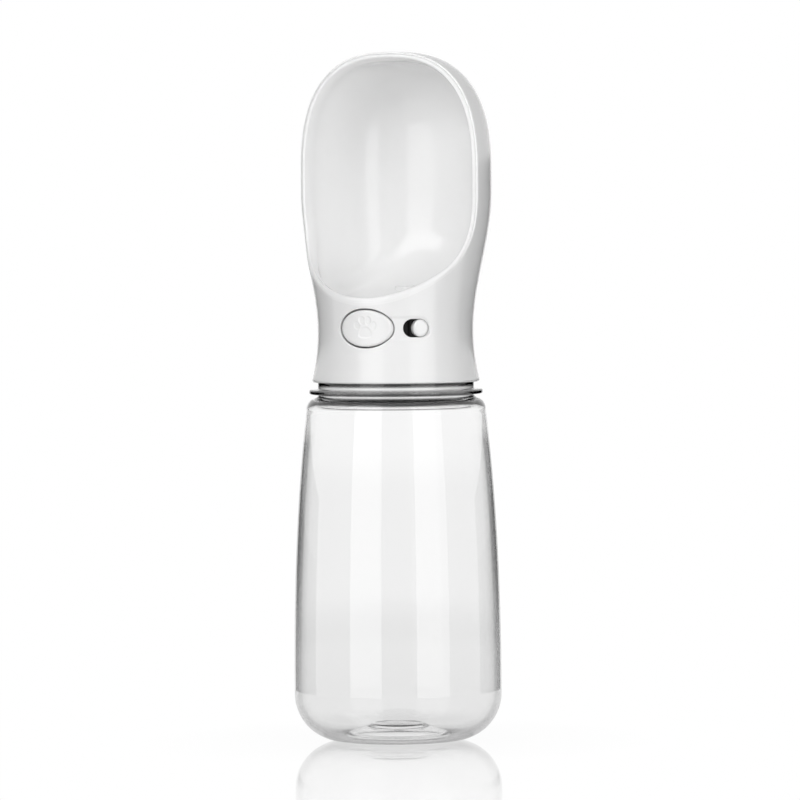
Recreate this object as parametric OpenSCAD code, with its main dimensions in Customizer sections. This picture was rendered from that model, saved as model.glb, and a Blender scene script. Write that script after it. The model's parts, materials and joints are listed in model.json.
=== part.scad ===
// Travel water bottle for dogs: a clear bottle with a screw-on head.
// The head holds a scooped drinking dish, a push-button valve and a slide lock.
// Z is up, the dish faces -Y, and the origin is the centre of the base.

/* [Bottle] */
// Widest radius of the bottle, near its foot
bottle_r = 39.5; // [37:0.5:44]
// Height at which the shoulder starts
bottle_h = 126; // [105:1:150]
// Radius at the start of the shoulder
shoulder_r = 34.2; // [33.2:0.1:36]
// Height of the rounded shoulder
shoulder_rise = 5; // [4:0.5:7]
// Radius of the rounded foot
foot_r = 18; // [12:0.5:18]
// Wall of the bottle
bottle_wall = 1.2; // [1:0.1:2]
// Width of the ring that the bottle stands on
foot_w = 1; // [0.5:0.1:4]
// Rise of the hollow under the base
punt_rise = 5.7; // [3:0.1:8]

/* [Neck] */
// Radius of the neck at the root of its thread
neck_r = 26; // [24.5:0.1:26]
// Depth of the thread
thread_depth = 0.7; // [0.5:0.1:0.9]
// Wall of the neck
neck_wall = 1.8; // [1.4:0.1:2.4]
// Height of the threaded neck above its collar
neck_h = 7.6; // [6.5:0.1:10]
// Width of the collar under the thread
collar_w = 3.8; // [3.4:0.1:3.9]
// Height of the collar above the flange
collar_h = 3.6; // [3:0.1:5]
// Distance that the neck flange stands out from the collar
flange_w = 3.3; // [2:0.1:4]
// Thickness of the neck flange
flange_t = 1.8; // [1.2:0.1:2.4]
// Height of the collar under the flange
flange_lift = 1.2; // [0.8:0.1:2]

/* [Head casing] */
// Height of the head
head_h = 125.5; // [116:0.5:140]
// Gap between the flange and the skirt
skirt_gap = 2.8; // [2:0.1:3.2]
// Distance of the skirt's outside beyond the collar, at its lower edge
skirt_w = 2.3; // [1.8:0.1:3.2]
// Bevel at the skirt's lower edge
skirt_bevel = 0.7; // [0.3:0.1:1]
// Distance of the waist's outside beyond the screw sleeve
waist_w = 1.25; // [1.1:0.05:2]
// Height of the waist above the skirt's edge
waist_h = 19.6; // [19:0.1:22]
// Radius of the head at its widest
head_r = 37; // [35:0.5:39]
// Height of the widest part above the skirt's edge
belly_h = 72.2; // [70:0.1:76]
// Height at which the dome starts, above the skirt's edge
dome_start = 78.7; // [77:0.1:84]
// Wall of the casing
shell_wall = 1.8; // [1.5:0.1:2]

/* [Dish] */
// Distance of the rim's upright stretch in front of the axis
scoop_f = 5.8; // [3:0.1:9]
// Radius of the rim's forward sweep
scoop_r = 26; // [22:0.5:28]
// Distance from the button's opening up to the middle of the rim
rim_clear = 3; // [2.6:0.1:5]
// Angle that the rim turns through in its sweep
scoop_turn = 52; // [50:1:56]
// Wall of the dish
dish_wall = 1.4; // [1.2:0.1:1.6]
// Gap between the dish and the casing
dish_gap = 0.3; // [0.2:0.05:0.4]
// Height of the dish's floor above the button's opening
floor_clear = 1.8; // [1.6:0.1:4]
// Radius of the corner round the dish's floor
dish_corner = 6; // [4:0.5:8]
// Distance in front of the axis at which the floor starts to rise
floor_front = 20; // [18:0.5:24]
// Radius of the floor's gentle rise
floor_r = 98; // [90:1:110]
// Angle that the floor reaches where its back slope starts
floor_turn = 18.5; // [17:0.5:19.5]
// Radius of the slope up the back of the dish
ramp_r = 33; // [32.5:0.1:34]
// Width of the rolled rim
rim_w = 3.1; // [2.8:0.1:3.2]
// Thickness of the rolled rim
rim_t = 2.2; // [1.8:0.1:2.8]
// Step from the casing's outside in to the rim
rim_step = 0.2; // [0.15:0.05:0.3]
// Distance of the outlet behind the axis
outlet_y = 13.5; // [13.4:0.1:15]
// Width of the outlet
outlet_w = 4.4; // [3:0.1:5]
// Length of the outlet from front to back
outlet_l = 1.8; // [1.2:0.1:3]

/* [Head base and valve] */
// Thickness of the valve plate
plate_t = 2.2; // [1.8:0.1:2.4]
// Wall of the threaded sleeve
sleeve_wall = 1.4; // [1.2:0.1:1.6]
// Height of the sleeve's lower edge above the neck's collar
sleeve_lift = 0.7; // [0.4:0.1:1]
// Radius of the water port
port_r = 5.2; // [4.6:0.1:5.6]
// Height of the valve seat under the plate
seat_h = 0.8; // [0.5:0.1:1]
// Width of the valve seat
seat_w = 1.4; // [1:0.1:2]
// Thickness of the neck gasket
gasket_t = 1.4; // [1:0.1:2]
// Width of the neck gasket
gasket_w = 2.2; // [1.6:0.1:2.4]
// Radius of the valve stem
stem_r = 2; // [1.6:0.1:2]
// Radius of the guide hub
hub_r = 3.4; // [3:0.1:3.6]
// Radius of the soft valve disc
valve_r = 7.6; // [7.2:0.1:9]
// Thickness of the soft valve disc
valve_t = 1.9; // [1.4:0.1:2.4]
// Thickness of the valve retainer
retainer_t = 1.6; // [1.2:0.1:2]
// Thickness of the stem's spring collar
collar_t = 0.8; // [0.6:0.1:1]
// Wire of the valve spring
valve_wire = 0.5; // [0.4:0.05:0.5]
// Turns of the valve spring
valve_turns = 3; // [2:0.5:3]

/* [Water chamber] */
// Inner radius of the chamber
chamber_r = 7.4; // [7:0.1:7.8]
// Wall of the chamber
chamber_wall = 1.6; // [1.2:0.1:1.8]
// Gap between the chamber and the dish above it
chamber_clear = 1.8; // [1.4:0.1:2.2]
// Width of the chamber's foot flange
chamber_foot = 2; // [1.6:0.1:2.4]
// Height of the spout above the valve plate
spout_h = 10; // [9:0.1:10.5]
// Outer radius of the spout
spout_r = 3; // [2.6:0.1:3]
// Wall of the spout
spout_wall = 1; // [0.8:0.1:1.1]

/* [Button] */
// Width of the button's opening
button_w = 22; // [19:0.5:22]
// Height of the button's opening
button_h = 15; // [12:0.5:15]
// Height of the button's centre above the skirt's edge
button_z = 20.9; // [20.7:0.1:21]
// Thickness of the button
button_t = 1.6; // [1.4:0.1:1.8]
// Radius of the boss behind the button
boss_r = 4; // [3.6:0.1:4.4]
// Depth of the boss, from the button's face to its back
boss_depth = 7.6; // [7:0.1:8]
// Radius of the push rod
rod_r = 2.5; // [2.3:0.05:2.5]
// Length of the rod's gland in front of the chamber
gland_l = 3; // [2.6:0.1:3.2]
// Wire of the button spring
button_wire = 0.7; // [0.5:0.05:0.8]
// Turns of the button spring
button_turns = 5; // [4:0.5:6]

/* [Lock] */
// Angle of the lock from the front, towards +X
lock_angle = 38.5; // [37:0.5:42]
// Length of the lock's slot
slot_l = 9.9; // [9.5:0.1:10]
// Height of the lock's slot
slot_h = 6.9; // [6.4:0.1:7]
// Radius of the lock's knob
knob_r = 2.95; // [2.6:0.05:2.95]
// Distance that the knob stands proud of the casing
knob_proud = 0.4; // [0.2:0.1:0.8]
// Thickness of the lock's slide
slide_t = 1.2; // [1:0.1:1.3]

/* [Clearances] */
// Gap between pieces that move past each other
gap = 0.3; // [0.25:0.05:0.35]
// Gap round a shaft that runs in a hole
shaft_gap = 0.08; // [0.05:0.01:0.1]
// Gap between pieces that are fitted together
seat_gap = 0.05; // [0.02:0.01:0.08]
// Seam between the rim and the casing
seam = 0.15; // [0.1:0.05:0.3]

/* [Hidden] */
$fn = 96;

// Heights of the bottle, from the base up
collar_z = bottle_h + shoulder_rise;
flange_z = collar_z + flange_lift;
neck_z = flange_z + flange_t + collar_h;
rim_z = neck_z + neck_h;

// Radii of the bottle that follow the neck and the foot
collar_r = neck_r + collar_w;
flange_r = collar_r + flange_w;
punt_r = bottle_r - foot_r - foot_w;
taper_power = 2.4;

// Heights of the head
head_z = flange_z + flange_t + skirt_gap;
top_z = head_z + head_h;
waist_z = head_z + waist_h;
belly_z = head_z + belly_h;
dome_z = head_z + dome_start;
dome_h = top_z - dome_z;
dome_power = 2.6;
skirt_power = 2.1;
profile_step = 4;

// Valve plate and sleeve
plate_z = rim_z + gap / 2 + gasket_t + seat_gap;
plate_top = plate_z + plate_t;
sleeve_in = neck_r + thread_depth + gap;
sleeve_out = sleeve_in + sleeve_wall;
sleeve_z = neck_z + sleeve_lift;
sleeve_top = plate_z + gap;

// Radii of the casing that follow the collar and the sleeve
skirt_r = collar_r + skirt_w;
waist_r = sleeve_out + waist_w;
bore_r = waist_r - shell_wall;

// Dish, above the button's opening
button_cz = head_z + button_z;
opening_top = button_cz + button_h / 2;
scoop_reach = scoop_f + scoop_r * (1 - cos(scoop_turn));
scoop_fall = scoop_r * sin(scoop_turn) + (waist_r - scoop_reach) / tan(scoop_turn);
scoop_z = opening_top + rim_clear + scoop_fall;
rim_inset = rim_step + rim_w / 2;
dish_floor = opening_top + floor_clear;
dish_inset = shell_wall + dish_gap;
dish_inner_inset = dish_inset + dish_wall;
rise_end = floor_r * sin(floor_turn) - floor_front;
rise_z = dish_floor + floor_r * (1 - cos(floor_turn));
ramp_y = rise_end - ramp_r * sin(floor_turn);
ramp_z = rise_z + ramp_r * cos(floor_turn);
arc_steps = 12;
far = 60;

// Button, rod and stem
cut_from = bore_r / 2;
wedge_half = 2 * rod_r;
button_ry = button_h / 2 - gap - 0.1;
button_rx = button_w / 2 - gap - 0.1;
boss_back = head_r_at(button_cz) - boss_depth;
rod_front = head_r_at(button_cz) - button_t - 1.2;
chamber_h = dish_floor - dish_wall - chamber_clear - plate_top;
gland_front = chamber_r + chamber_wall + gland_l;
gland_r = rod_r + 2.4;
seal_w = 1.6;
seal_l = 1.6;
guide_ring_t = 0.6;
guide_top = plate_top + 2;
collar_top = button_cz - rod_r - gap / 2;
collar_bottom = collar_top - collar_t;
collar_disc_r = chamber_r - 2;
valve_top = plate_z - seat_h - gap / 2;
spring_mean_r = (hub_r + collar_disc_r) / 2;

// Spout
spout_z = plate_top + spout_h;
spout_top = ramp_height(outlet_y, 0) - 3.4;
seat_z = spout_top - 1.2;
boss_z = seat_z - seal_l - 2;
socket_r = spout_r + 1.1;

// Lock, in its own turned frame: u along the wall, f out from the axis
lock_travel = slot_l - 2 * knob_r - 2 * gap;
knob_u = lock_travel / 2;
slide_out = bore_r - 1.65;
slide_in = slide_out - slide_t;
slide_u0 = knob_u - knob_r - 0.5;
slide_u1 = knob_u + knob_r + 1.6;
slide_half = slot_h / 2 + 1;
guide_floor = slide_in - gap;
guide_in = guide_floor - 1.2;
guide_half = slide_half + gap + 1.4;
guide_u0 = -slot_l / 2 - seat_gap;
guide_u1 = slide_u1 + gap + 1.5;

function smooth(t) = t * t * (3 - 2 * t);

// Radius of the head's outside at height z, below the dome
function wall_r_at(z) =
    z < waist_z
        ? waist_r + (skirt_r - waist_r) * pow((waist_z - z) / waist_h, skirt_power)
        : z < belly_z
            ? waist_r + (head_r - waist_r) * smooth((z - waist_z) / (belly_z - waist_z))
            : head_r;

// Radius of the dome at height z, moved in by inset
function dome_r_at(z, inset) =
    (head_r - inset)
    * pow(max(0, 1 - pow(max(0, z - dome_z) / (dome_h - inset), dome_power)), 1 / dome_power);

function head_r_at(z, inset = 0) = z < dome_z ? wall_r_at(z) - inset : dome_r_at(z, inset);

// Outline of the head from height z0 to the top of the dome, moved in by inset
function head_outline(z0, inset) = concat(
    [[wall_r_at(z0) - inset, z0]],
    [for (z = [head_z:profile_step:dome_z - 1]) if (z > z0 + 0.5) [wall_r_at(z) - inset, z]],
    [for (a = [0:6:90]) [
        (head_r - inset) * pow(max(0, cos(a)), 2 / dome_power),
        dome_z + (dome_h - inset) * pow(sin(a), 2 / dome_power)
    ]]
);

// Points on an arc in the plane of a profile
function arc(cx, cy, r, a0, a1, steps) = [
    for (i = [0:steps]) [cx + r * cos(a0 + (a1 - a0) * i / steps), cy + r * sin(a0 + (a1 - a0) * i / steps)]
];

// Radius of the bottle's body at height z
function body_r_at(z) =
    bottle_r - (bottle_r - shoulder_r) * pow((z - foot_r) / (bottle_h - foot_r), taper_power);

// Height of the dish's floor or back slope at distance y behind the axis, moved down by drop
function ramp_height(y, drop) =
    y < rise_end
        ? dish_floor + floor_r - sqrt(pow(floor_r + drop, 2) - pow(y + floor_front, 2))
        : ramp_z - sqrt(pow(ramp_r + drop, 2) - pow(y - ramp_y, 2));

// Outline of the space in front of the rim, seen from the side and moved forward by shift
function scoop_outline(shift) =
    let (
        cy = -(scoop_f + scoop_r),
        r = scoop_r - shift,
        curve = arc(cy, scoop_z, r, 0, -scoop_turn, arc_steps),
        last = curve[arc_steps],
        tip = last + far * [-sin(scoop_turn), -cos(scoop_turn)]
    )
    concat([[-(scoop_f + shift), top_z + 5]], curve, [tip, [tip[0], top_z + 5]]);

// Outline of the space above the dish's floor and back slope, moved down by drop
function floor_outline(drop) = concat(
    [[-far, top_z + 5], [-far, dish_floor - drop]],
    arc(-floor_front, dish_floor + floor_r, floor_r + drop, -90, floor_turn - 90, 4),
    arc(ramp_y, ramp_z, ramp_r + drop, floor_turn - 84, 0, arc_steps),
    [[far, ramp_z], [far, top_z + 5]]
);

// A shape seen from the side, made into a block across X
module side_block(points) {
    rotate([90, 0, 90])
        linear_extrude(2 * far, center = true)
            polygon(points);
}

// An ellipse in the front, made into a rod that runs out through the casing
module front_ellipse(rx, ry) {
    translate([0, -cut_from, button_cz])
        rotate([90, 0, 0])
            linear_extrude(far)
                scale([rx, ry])
                    circle(r = 1);
}

// A cylinder along Y at the height of the button, from y0 to y1
module along_y(r, y0, y1, z = button_cz) {
    translate([0, y1, z])
        rotate([90, 0, 0])
            cylinder(r = r, h = y1 - y0);
}

module ring(r_out, r_in, h) {
    difference() {
        cylinder(r = r_out, h = h);
        translate([0, 0, -1])
            cylinder(r = r_in, h = h + 2);
    }
}

// A round wire coil standing on z = 0
module coil(mean_r, wire, turns, length) {
    sides = 8;
    steps = 20;
    n = round(turns * steps);
    rise = length - wire;
    points = [
        for (i = [0:n]) for (j = [0:sides - 1])
            let (
                a = 360 * i / steps,
                b = 360 * j / sides,
                r = mean_r + wire / 2 * cos(b)
            )
            [r * cos(a), r * sin(a), wire / 2 + rise * i / n + wire / 2 * sin(b)]
    ];
    walls = [
        for (i = [0:n - 1]) for (j = [0:sides - 1])
            let (k = (j + 1) % sides)
            [i * sides + j, i * sides + k, (i + 1) * sides + k, (i + 1) * sides + j]
    ];
    start = [[for (j = [sides - 1:-1:0]) j]];
    end = [[for (j = [0:sides - 1]) n * sides + j]];
    polyhedron(points, concat(walls, start, end), convexity = 10);
}

// The head as a closed form, moved in by inset
module head_solid(inset) {
    rotate_extrude()
        polygon(concat([[0, waist_z - 12]], head_outline(waist_z - 12, inset)));
}

// The space inside the casing, from the skirt's edge up
module casing_space() {
    rotate_extrude()
        polygon(concat(
            [
                [0, head_z - 1],
                [collar_r + gap, head_z - 1],
                [collar_r + gap, sleeve_z - seat_gap],
                [sleeve_out + seat_gap, sleeve_z - seat_gap],
                [sleeve_out + seat_gap, sleeve_top],
                [bore_r, sleeve_top]
            ],
            head_outline(waist_z, shell_wall)
        ));
}

// A bowl inside the head: flat floor, rounded corner, walls that follow the head
module bowl(inset, floor_z, corner) {
    z0 = floor_z + corner;
    rotate_extrude()
        polygon(concat(
            [[0, floor_z]],
            arc(wall_r_at(z0) - inset - corner, z0, corner, -90, -15, 5),
            head_outline(z0, inset)
        ));
}

module bottle() {
    punt_sphere = (punt_r * punt_r + punt_rise * punt_rise) / (2 * punt_rise);
    punt_z = punt_rise - punt_sphere;
    punt_angle = asin(punt_r / punt_sphere);
    foot_x = bottle_r - foot_r;
    neck_in = neck_r - neck_wall;
    collar_in = collar_r - neck_wall;
    ledge_z = neck_z - neck_wall;
    steps = 12;
    body_zs = [for (i = [1:steps]) foot_r + (bottle_h - foot_r) * i / steps];
    color([0.86, 0.93, 0.95, 0.45])
        rotate_extrude()
            polygon(concat(
                [[0, punt_rise]],
                arc(0, punt_z, punt_sphere, 90 - punt_angle / 6, 90 - punt_angle, 5),
                arc(foot_x, foot_r, foot_r, -90, 0, 9),
                [for (z = body_zs) [body_r_at(z), z]],
                [for (a = [15:15:90]) [
                    collar_r + (shoulder_r - collar_r) * cos(a),
                    bottle_h + shoulder_rise * sin(a)
                ]],
                [
                    [collar_r, flange_z],
                    [flange_r, flange_z],
                    [flange_r, flange_z + flange_t],
                    [collar_r, flange_z + flange_t],
                    [collar_r, neck_z],
                    [neck_r, neck_z],
                    [neck_r, rim_z],
                    [neck_in, rim_z],
                    [neck_in, ledge_z],
                    [collar_in, ledge_z]
                ],
                [for (a = [90:-15:15]) [
                    collar_in + (shoulder_r - bottle_wall - collar_in) * cos(a),
                    bottle_h + (shoulder_rise - bottle_wall) * sin(a)
                ]],
                [for (i = [steps - 1:-1:0]) [body_r_at(body_zs[i]) - bottle_wall, body_zs[i]]],
                arc(foot_x, foot_r, foot_r - bottle_wall, 0, -90, 9),
                arc(0, punt_z, punt_sphere + bottle_wall, 90 - punt_angle * 0.97, 90 - punt_angle / 6, 5),
                [[0, punt_rise + bottle_wall]]
            ));
}

module head_shell() {
    color("white")
        difference() {
            rotate_extrude()
                polygon(concat(
                    [
                        [0, head_z],
                        [skirt_r - skirt_bevel, head_z]
                    ],
                    head_outline(head_z + skirt_bevel, 0)
                ));
            casing_space();
            side_block(scoop_outline(-(rim_t / 2 + seam)));
            front_ellipse(button_w / 2, button_h / 2);
            rotate([0, 0, lock_angle])
                translate([0, -cut_from, button_cz])
                    rotate([90, 0, 0])
                        linear_extrude(far) {
                            square([slot_l - slot_h, slot_h], center = true);
                            for (side = [-1, 1])
                                translate([side * (slot_l - slot_h) / 2, 0])
                                    circle(d = slot_h);
                        }
        }
}

module drinking_dish() {
    color("whitesmoke")
        difference() {
            union() {
                difference() {
                    intersection() {
                        bowl(dish_inset, dish_floor - dish_wall, dish_corner + dish_wall);
                        side_block(floor_outline(dish_wall));
                    }
                    side_block(scoop_outline(0));
                }
                intersection() {
                    difference() {
                        bowl(rim_inset - rim_w / 2, dish_floor - 4, 1);
                        bowl(rim_inset + rim_w / 2, dish_floor - 5, 1);
                    }
                    difference() {
                        side_block(scoop_outline(-rim_t / 2));
                        side_block(scoop_outline(rim_t / 2));
                    }
                }
                translate([0, outlet_y, boss_z])
                    cylinder(r = socket_r + 1.2, h = ramp_height(outlet_y + socket_r, 0) - boss_z);
            }
            intersection() {
                bowl(dish_inner_inset, dish_floor, dish_corner);
                side_block(floor_outline(0));
            }
            translate([0, outlet_y, boss_z - 1])
                cylinder(r = socket_r, h = seat_z - boss_z + 1);
            translate([0, outlet_y, boss_z])
                cylinder(r = spout_r + seat_gap, h = spout_top + seat_gap - boss_z);
            translate([-outlet_w / 2, outlet_y - outlet_l / 2, boss_z])
                cube([outlet_w, outlet_l, ramp_height(outlet_y + outlet_l, 0) - boss_z]);
        }
}

module head_base() {
    color("gainsboro")
        difference() {
            union() {
                translate([0, 0, plate_z])
                    cylinder(r = bore_r - seat_gap, h = plate_t);
                translate([0, 0, sleeve_z])
                    cylinder(r = sleeve_out, h = sleeve_top - seat_gap - sleeve_z);
            }
            difference() {
                translate([0, 0, sleeve_z - 1])
                    cylinder(r = sleeve_in, h = plate_z - sleeve_z + 1);
                translate([0, 0, plate_z - seat_h])
                    cylinder(r = port_r + seat_w, h = seat_h + 1);
            }
            translate([0, 0, plate_z - seat_h - 1])
                cylinder(r = port_r, h = plate_t + seat_h + 2);
        }
}

module neck_gasket() {
    color("lightgray")
        translate([0, 0, plate_z - seat_gap - gasket_t])
            ring(neck_r + thread_depth - seat_gap, neck_r + thread_depth - seat_gap - gasket_w, gasket_t);
}

module water_chamber() {
    r_out = chamber_r + chamber_wall;
    color("gainsboro")
        difference() {
            union() {
                translate([0, 0, plate_top])
                    cylinder(r = r_out, h = chamber_h);
                translate([0, 0, plate_top])
                    cylinder(r = r_out + chamber_foot, h = 1.6);
                along_y(gland_r, -gland_front, -chamber_r);
                along_y(spout_r + 1.2, chamber_r, outlet_y - spout_r - gap, spout_z);
            }
            translate([0, 0, plate_top - 1])
                cylinder(r = chamber_r, h = chamber_h - chamber_wall + 1);
            along_y(rod_r + shaft_gap, -gland_front - 1, 0);
            along_y(rod_r + seal_w, -gland_front + 0.8, -gland_front + 0.8 + seal_l);
            along_y(spout_r - spout_wall, 0, outlet_y, spout_z);
            along_y(spout_r + seat_gap, chamber_r + 0.5, outlet_y, spout_z);
            translate([0, 0, plate_top - 1])
                ring(r_out + 1.2, r_out + 0.2, 1.8);
        }
}

module chamber_seal() {
    r_out = chamber_r + chamber_wall;
    color("dimgray")
        translate([0, 0, plate_top])
            ring(r_out + 1.2 - seat_gap, r_out + 0.2 + seat_gap, 0.8 - seat_gap);
}

module outlet_spout() {
    start = chamber_r + 0.5 + seat_gap;
    half = spout_r + 0.1;
    inner = spout_r - spout_wall;
    color("gainsboro")
        difference() {
            union() {
                along_y(spout_r, start, outlet_y, spout_z);
                translate([-half, outlet_y - half, spout_z - half])
                    cube(2 * half);
                translate([0, outlet_y, spout_z])
                    cylinder(r = spout_r, h = spout_top - spout_z);
            }
            along_y(inner, start - 1, outlet_y, spout_z);
            translate([0, outlet_y, spout_z - inner])
                cylinder(r = inner, h = far);
        }
}

module outlet_seal() {
    color("dimgray")
        translate([0, outlet_y, seat_z - seal_l])
            ring(socket_r - seat_gap, spout_r + seat_gap, seal_l - seat_gap);
}

module dispense_button() {
    color("white")
        difference() {
            intersection() {
                front_ellipse(button_rx, button_ry);
                head_solid(0);
            }
            difference() {
                head_solid(button_t);
                along_y(boss_r, -far, -boss_back);
            }
            along_y(rod_r + seat_gap, -(rod_front + seat_gap), -boss_back + 1);
        }
}

module push_rod() {
    color("silver")
        difference() {
            along_y(rod_r, -rod_front, rod_r);
            translate([0, 0, button_cz])
                rotate([-45, 0, 0])
                    translate([-wedge_half, 0, -wedge_half])
                        cube(2 * wedge_half);
        }
}

module rod_seal() {
    seal_front = -gland_front + 0.8;
    color("dimgray")
        difference() {
            along_y(rod_r + seal_w - seat_gap, seal_front + seat_gap, seal_front + seal_l - seat_gap);
            along_y(rod_r + shaft_gap, -gland_front, 0);
        }
}

module button_spring() {
    length = boss_back - gland_front - 2 * seat_gap;
    color("silver")
        translate([0, -gland_front - seat_gap, button_cz])
            rotate([90, 0, 0])
                coil(rod_r + gap + button_wire / 2, button_wire, button_turns, length);
}

module valve_stem() {
    foot_z = valve_top - valve_t - retainer_t - 0.8;
    color("silver") {
        translate([0, 0, foot_z])
            cylinder(r = stem_r, h = collar_top - foot_z - collar_t / 2);
        translate([0, 0, collar_bottom])
            cylinder(r = collar_disc_r, h = collar_t);
        difference() {
            translate([0, 0, collar_bottom])
                cylinder(r = rod_r, h = button_cz + rod_r - collar_bottom);
            translate([0, 0, button_cz])
                rotate([-45, 0, 0])
                    translate([-wedge_half, gap - 2 * wedge_half, -wedge_half])
                        cube(2 * wedge_half);
        }
    }
}

module valve_seal() {
    color("dimgray")
        translate([0, 0, valve_top - valve_t])
            ring(valve_r, stem_r + seat_gap, valve_t);
}

module valve_retainer() {
    color("gainsboro")
        translate([0, 0, valve_top - valve_t - seat_gap - retainer_t])
            ring(valve_r - 1, stem_r + seat_gap, retainer_t);
}

module valve_spring() {
    base_z = plate_top + guide_ring_t + seat_gap;
    color("silver")
        translate([0, 0, base_z])
            coil(spring_mean_r, valve_wire, valve_turns, collar_bottom - seat_gap - base_z);
}

module stem_guide() {
    color("gainsboro")
        difference() {
            union() {
                translate([0, 0, plate_top])
                    ring(chamber_r - seat_gap, port_r, guide_ring_t);
                translate([0, 0, plate_top - 2])
                    cylinder(r = hub_r, h = guide_top - plate_top + 2);
                for (a = [30:120:270])
                    rotate([0, 0, a])
                        translate([0, -0.7, plate_top])
                            cube([port_r + 0.5, 1.4, guide_ring_t]);
            }
            translate([0, 0, plate_top - 3])
                cylinder(r = stem_r + shaft_gap, h = guide_top - plate_top + 4);
        }
}

module lock_knob() {
    tip = head_r_at(button_cz) + knob_proud;
    color("white")
        rotate([0, 0, lock_angle])
            translate([knob_u, 0, 0])
                along_y(knob_r, -tip, -slide_out - seat_gap);
}

// A block in the lock's own frame, from u0 to u1 along the wall and f0 to f1 out from the axis
module lock_block(u0, u1, f0, f1, half) {
    translate([u0, -f1, button_cz - half])
        cube([u1 - u0, f1 - f0, 2 * half]);
}

module lock_slide() {
    color([0.08, 0.08, 0.08])
        rotate([0, 0, lock_angle])
            lock_block(slide_u0, slide_u1, slide_in, slide_out, slide_half);
}

module lock_guide() {
    color([0.08, 0.08, 0.08])
        rotate([0, 0, lock_angle])
            difference() {
                intersection() {
                    lock_block(guide_u0, guide_u1, guide_in, bore_r, guide_half);
                    translate([0, 0, button_cz - guide_half - 1])
                        cylinder(r = bore_r - seat_gap, h = 2 * guide_half + 2);
                }
                lock_block(guide_u0 - 1, slide_u1 + gap, guide_floor, bore_r + 1, slide_half + gap);
            }
}

bottle();
head_shell();
drinking_dish();
head_base();
neck_gasket();
water_chamber();
chamber_seal();
outlet_spout();
outlet_seal();
dispense_button();
push_rod();
rod_seal();
button_spring();
valve_stem();
valve_seal();
valve_retainer();
valve_spring();
stem_guide();
lock_knob();
lock_slide();
lock_guide();
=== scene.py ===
"""Looks of the dog travel water bottle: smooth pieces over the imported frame, materials, studio, camera."""

import json
import math

import bmesh
import bpy
import numpy as np
from mathutils import Matrix, Vector
from mathutils.geometry import delaunay_2d_cdt


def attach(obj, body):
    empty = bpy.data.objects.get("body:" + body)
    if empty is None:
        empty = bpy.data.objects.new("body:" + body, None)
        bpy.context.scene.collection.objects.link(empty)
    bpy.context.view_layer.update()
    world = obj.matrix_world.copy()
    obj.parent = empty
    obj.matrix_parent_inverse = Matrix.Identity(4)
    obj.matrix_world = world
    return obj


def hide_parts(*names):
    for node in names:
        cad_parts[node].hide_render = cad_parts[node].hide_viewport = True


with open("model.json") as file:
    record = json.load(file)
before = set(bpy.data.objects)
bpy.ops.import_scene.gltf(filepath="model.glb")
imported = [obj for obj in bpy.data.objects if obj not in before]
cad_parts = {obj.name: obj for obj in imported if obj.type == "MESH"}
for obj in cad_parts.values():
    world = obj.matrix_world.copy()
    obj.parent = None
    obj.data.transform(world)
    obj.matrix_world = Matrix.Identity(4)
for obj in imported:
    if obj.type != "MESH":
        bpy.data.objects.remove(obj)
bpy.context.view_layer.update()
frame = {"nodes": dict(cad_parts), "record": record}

# ===== Sizes, in millimetres, the same as in the part's source
MM = 0.001

# Head casing
HEAD_Z, TOP_Z = 136.8, 262.3
SKIRT_R, SKIRT_POWER = 32.1, 2.1
WAIST_R, WAIST_Z, WAIST_H = 29.65, 156.4, 19.6
HEAD_R, BELLY_Z = 37.0, 209.0
DOME_Z, DOME_POWER = 215.5, 2.6
SHELL_WALL = 1.8
SKIRT_ROUND = 0.7
BORE_R = WAIST_R - SHELL_WALL
COLLAR_SPACE_R, COLLAR_SPACE_Z = 30.1, 138.25
SLEEVE_SPACE_R, SLEEVE_SPACE_Z = 28.45, 147.1

# Scoop, which cuts the casing open for the dish
SCOOP_F, SCOOP_R, SCOOP_Z = 5.8, 26.0, 199.515
SCOOP_TURN = math.radians(52)
SCOOP_SEARCH = (150, 200, 216)
RIM_T = 2.2
HAIRLINE = 0.02

# Dish
DISH_INSET, DISH_WALL = 3.5, 1.3
DISH_FLOOR, FLOOR_FRONT, FLOOR_R = 167.0, -20.0, 98.0
FLOOR_TURN = math.radians(18.5)
RAMP_R, RAMP_Y, RAMP_Z = 33.0, 0.6298, 203.352
DISH_CORNER, DISH_CORNER_LEAST = 6.0, 0.05
OUTLET_Y, OUTLET_W, OUTLET_L = 13.5, 4.4, 1.8
SOCKET_R, SOCKET_WALL = 4.1, 1.2
BOSS_Z, BOSS_TOP, SEAT_Z, SPOUT_R, SPOUT_TOP = 164.824, 173.0, 168.424, 3.05, 169.674

# Button and lock
BUTTON_Z = 157.7
BUTTON_RX, BUTTON_RZ = 11.0, 7.5
BUTTON_GAP, BUTTON_T = 0.4, 1.6
BOSS_R, BOSS_DEPTH, ROD_HOLE_R, ROD_FRONT = 4.0, 7.6, 2.55, 26.9
LOCK_ANGLE = math.radians(38.5)
SLOT_L, SLOT_H = 9.9, 6.9
KNOB_R, KNOB_U, KNOB_PROUD, KNOB_BACK = 2.95, 1.7, 0.4, 26.25

# Bottle
BOTTLE_R, BOTTLE_H, BOTTLE_WALL = 39.5, 126.0, 1.2
SHOULDER_R, SHOULDER_RISE, TAPER_POWER = 34.2, 5.0, 2.4
FOOT_R, PUNT_R, PUNT_RISE = 18.0, 20.5, 5.7
NECK_R, NECK_Z, RIM_Z, NECK_WALL = 26.0, 137.6, 145.2, 1.8
COLLAR_R, FLANGE_R, FLANGE_Z, FLANGE_T = 29.8, 33.1, 132.2, 1.8
THREAD_DEPTH, THREAD_LEAD, THREAD_TURNS = 0.62, 4.0, 1.4


# ===== Mesh helpers
SHARP_TURN, CAD_SHARP_TURN = math.radians(40), math.radians(30)
WELD = 1e-7
ON_AXIS = 1e-6


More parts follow.
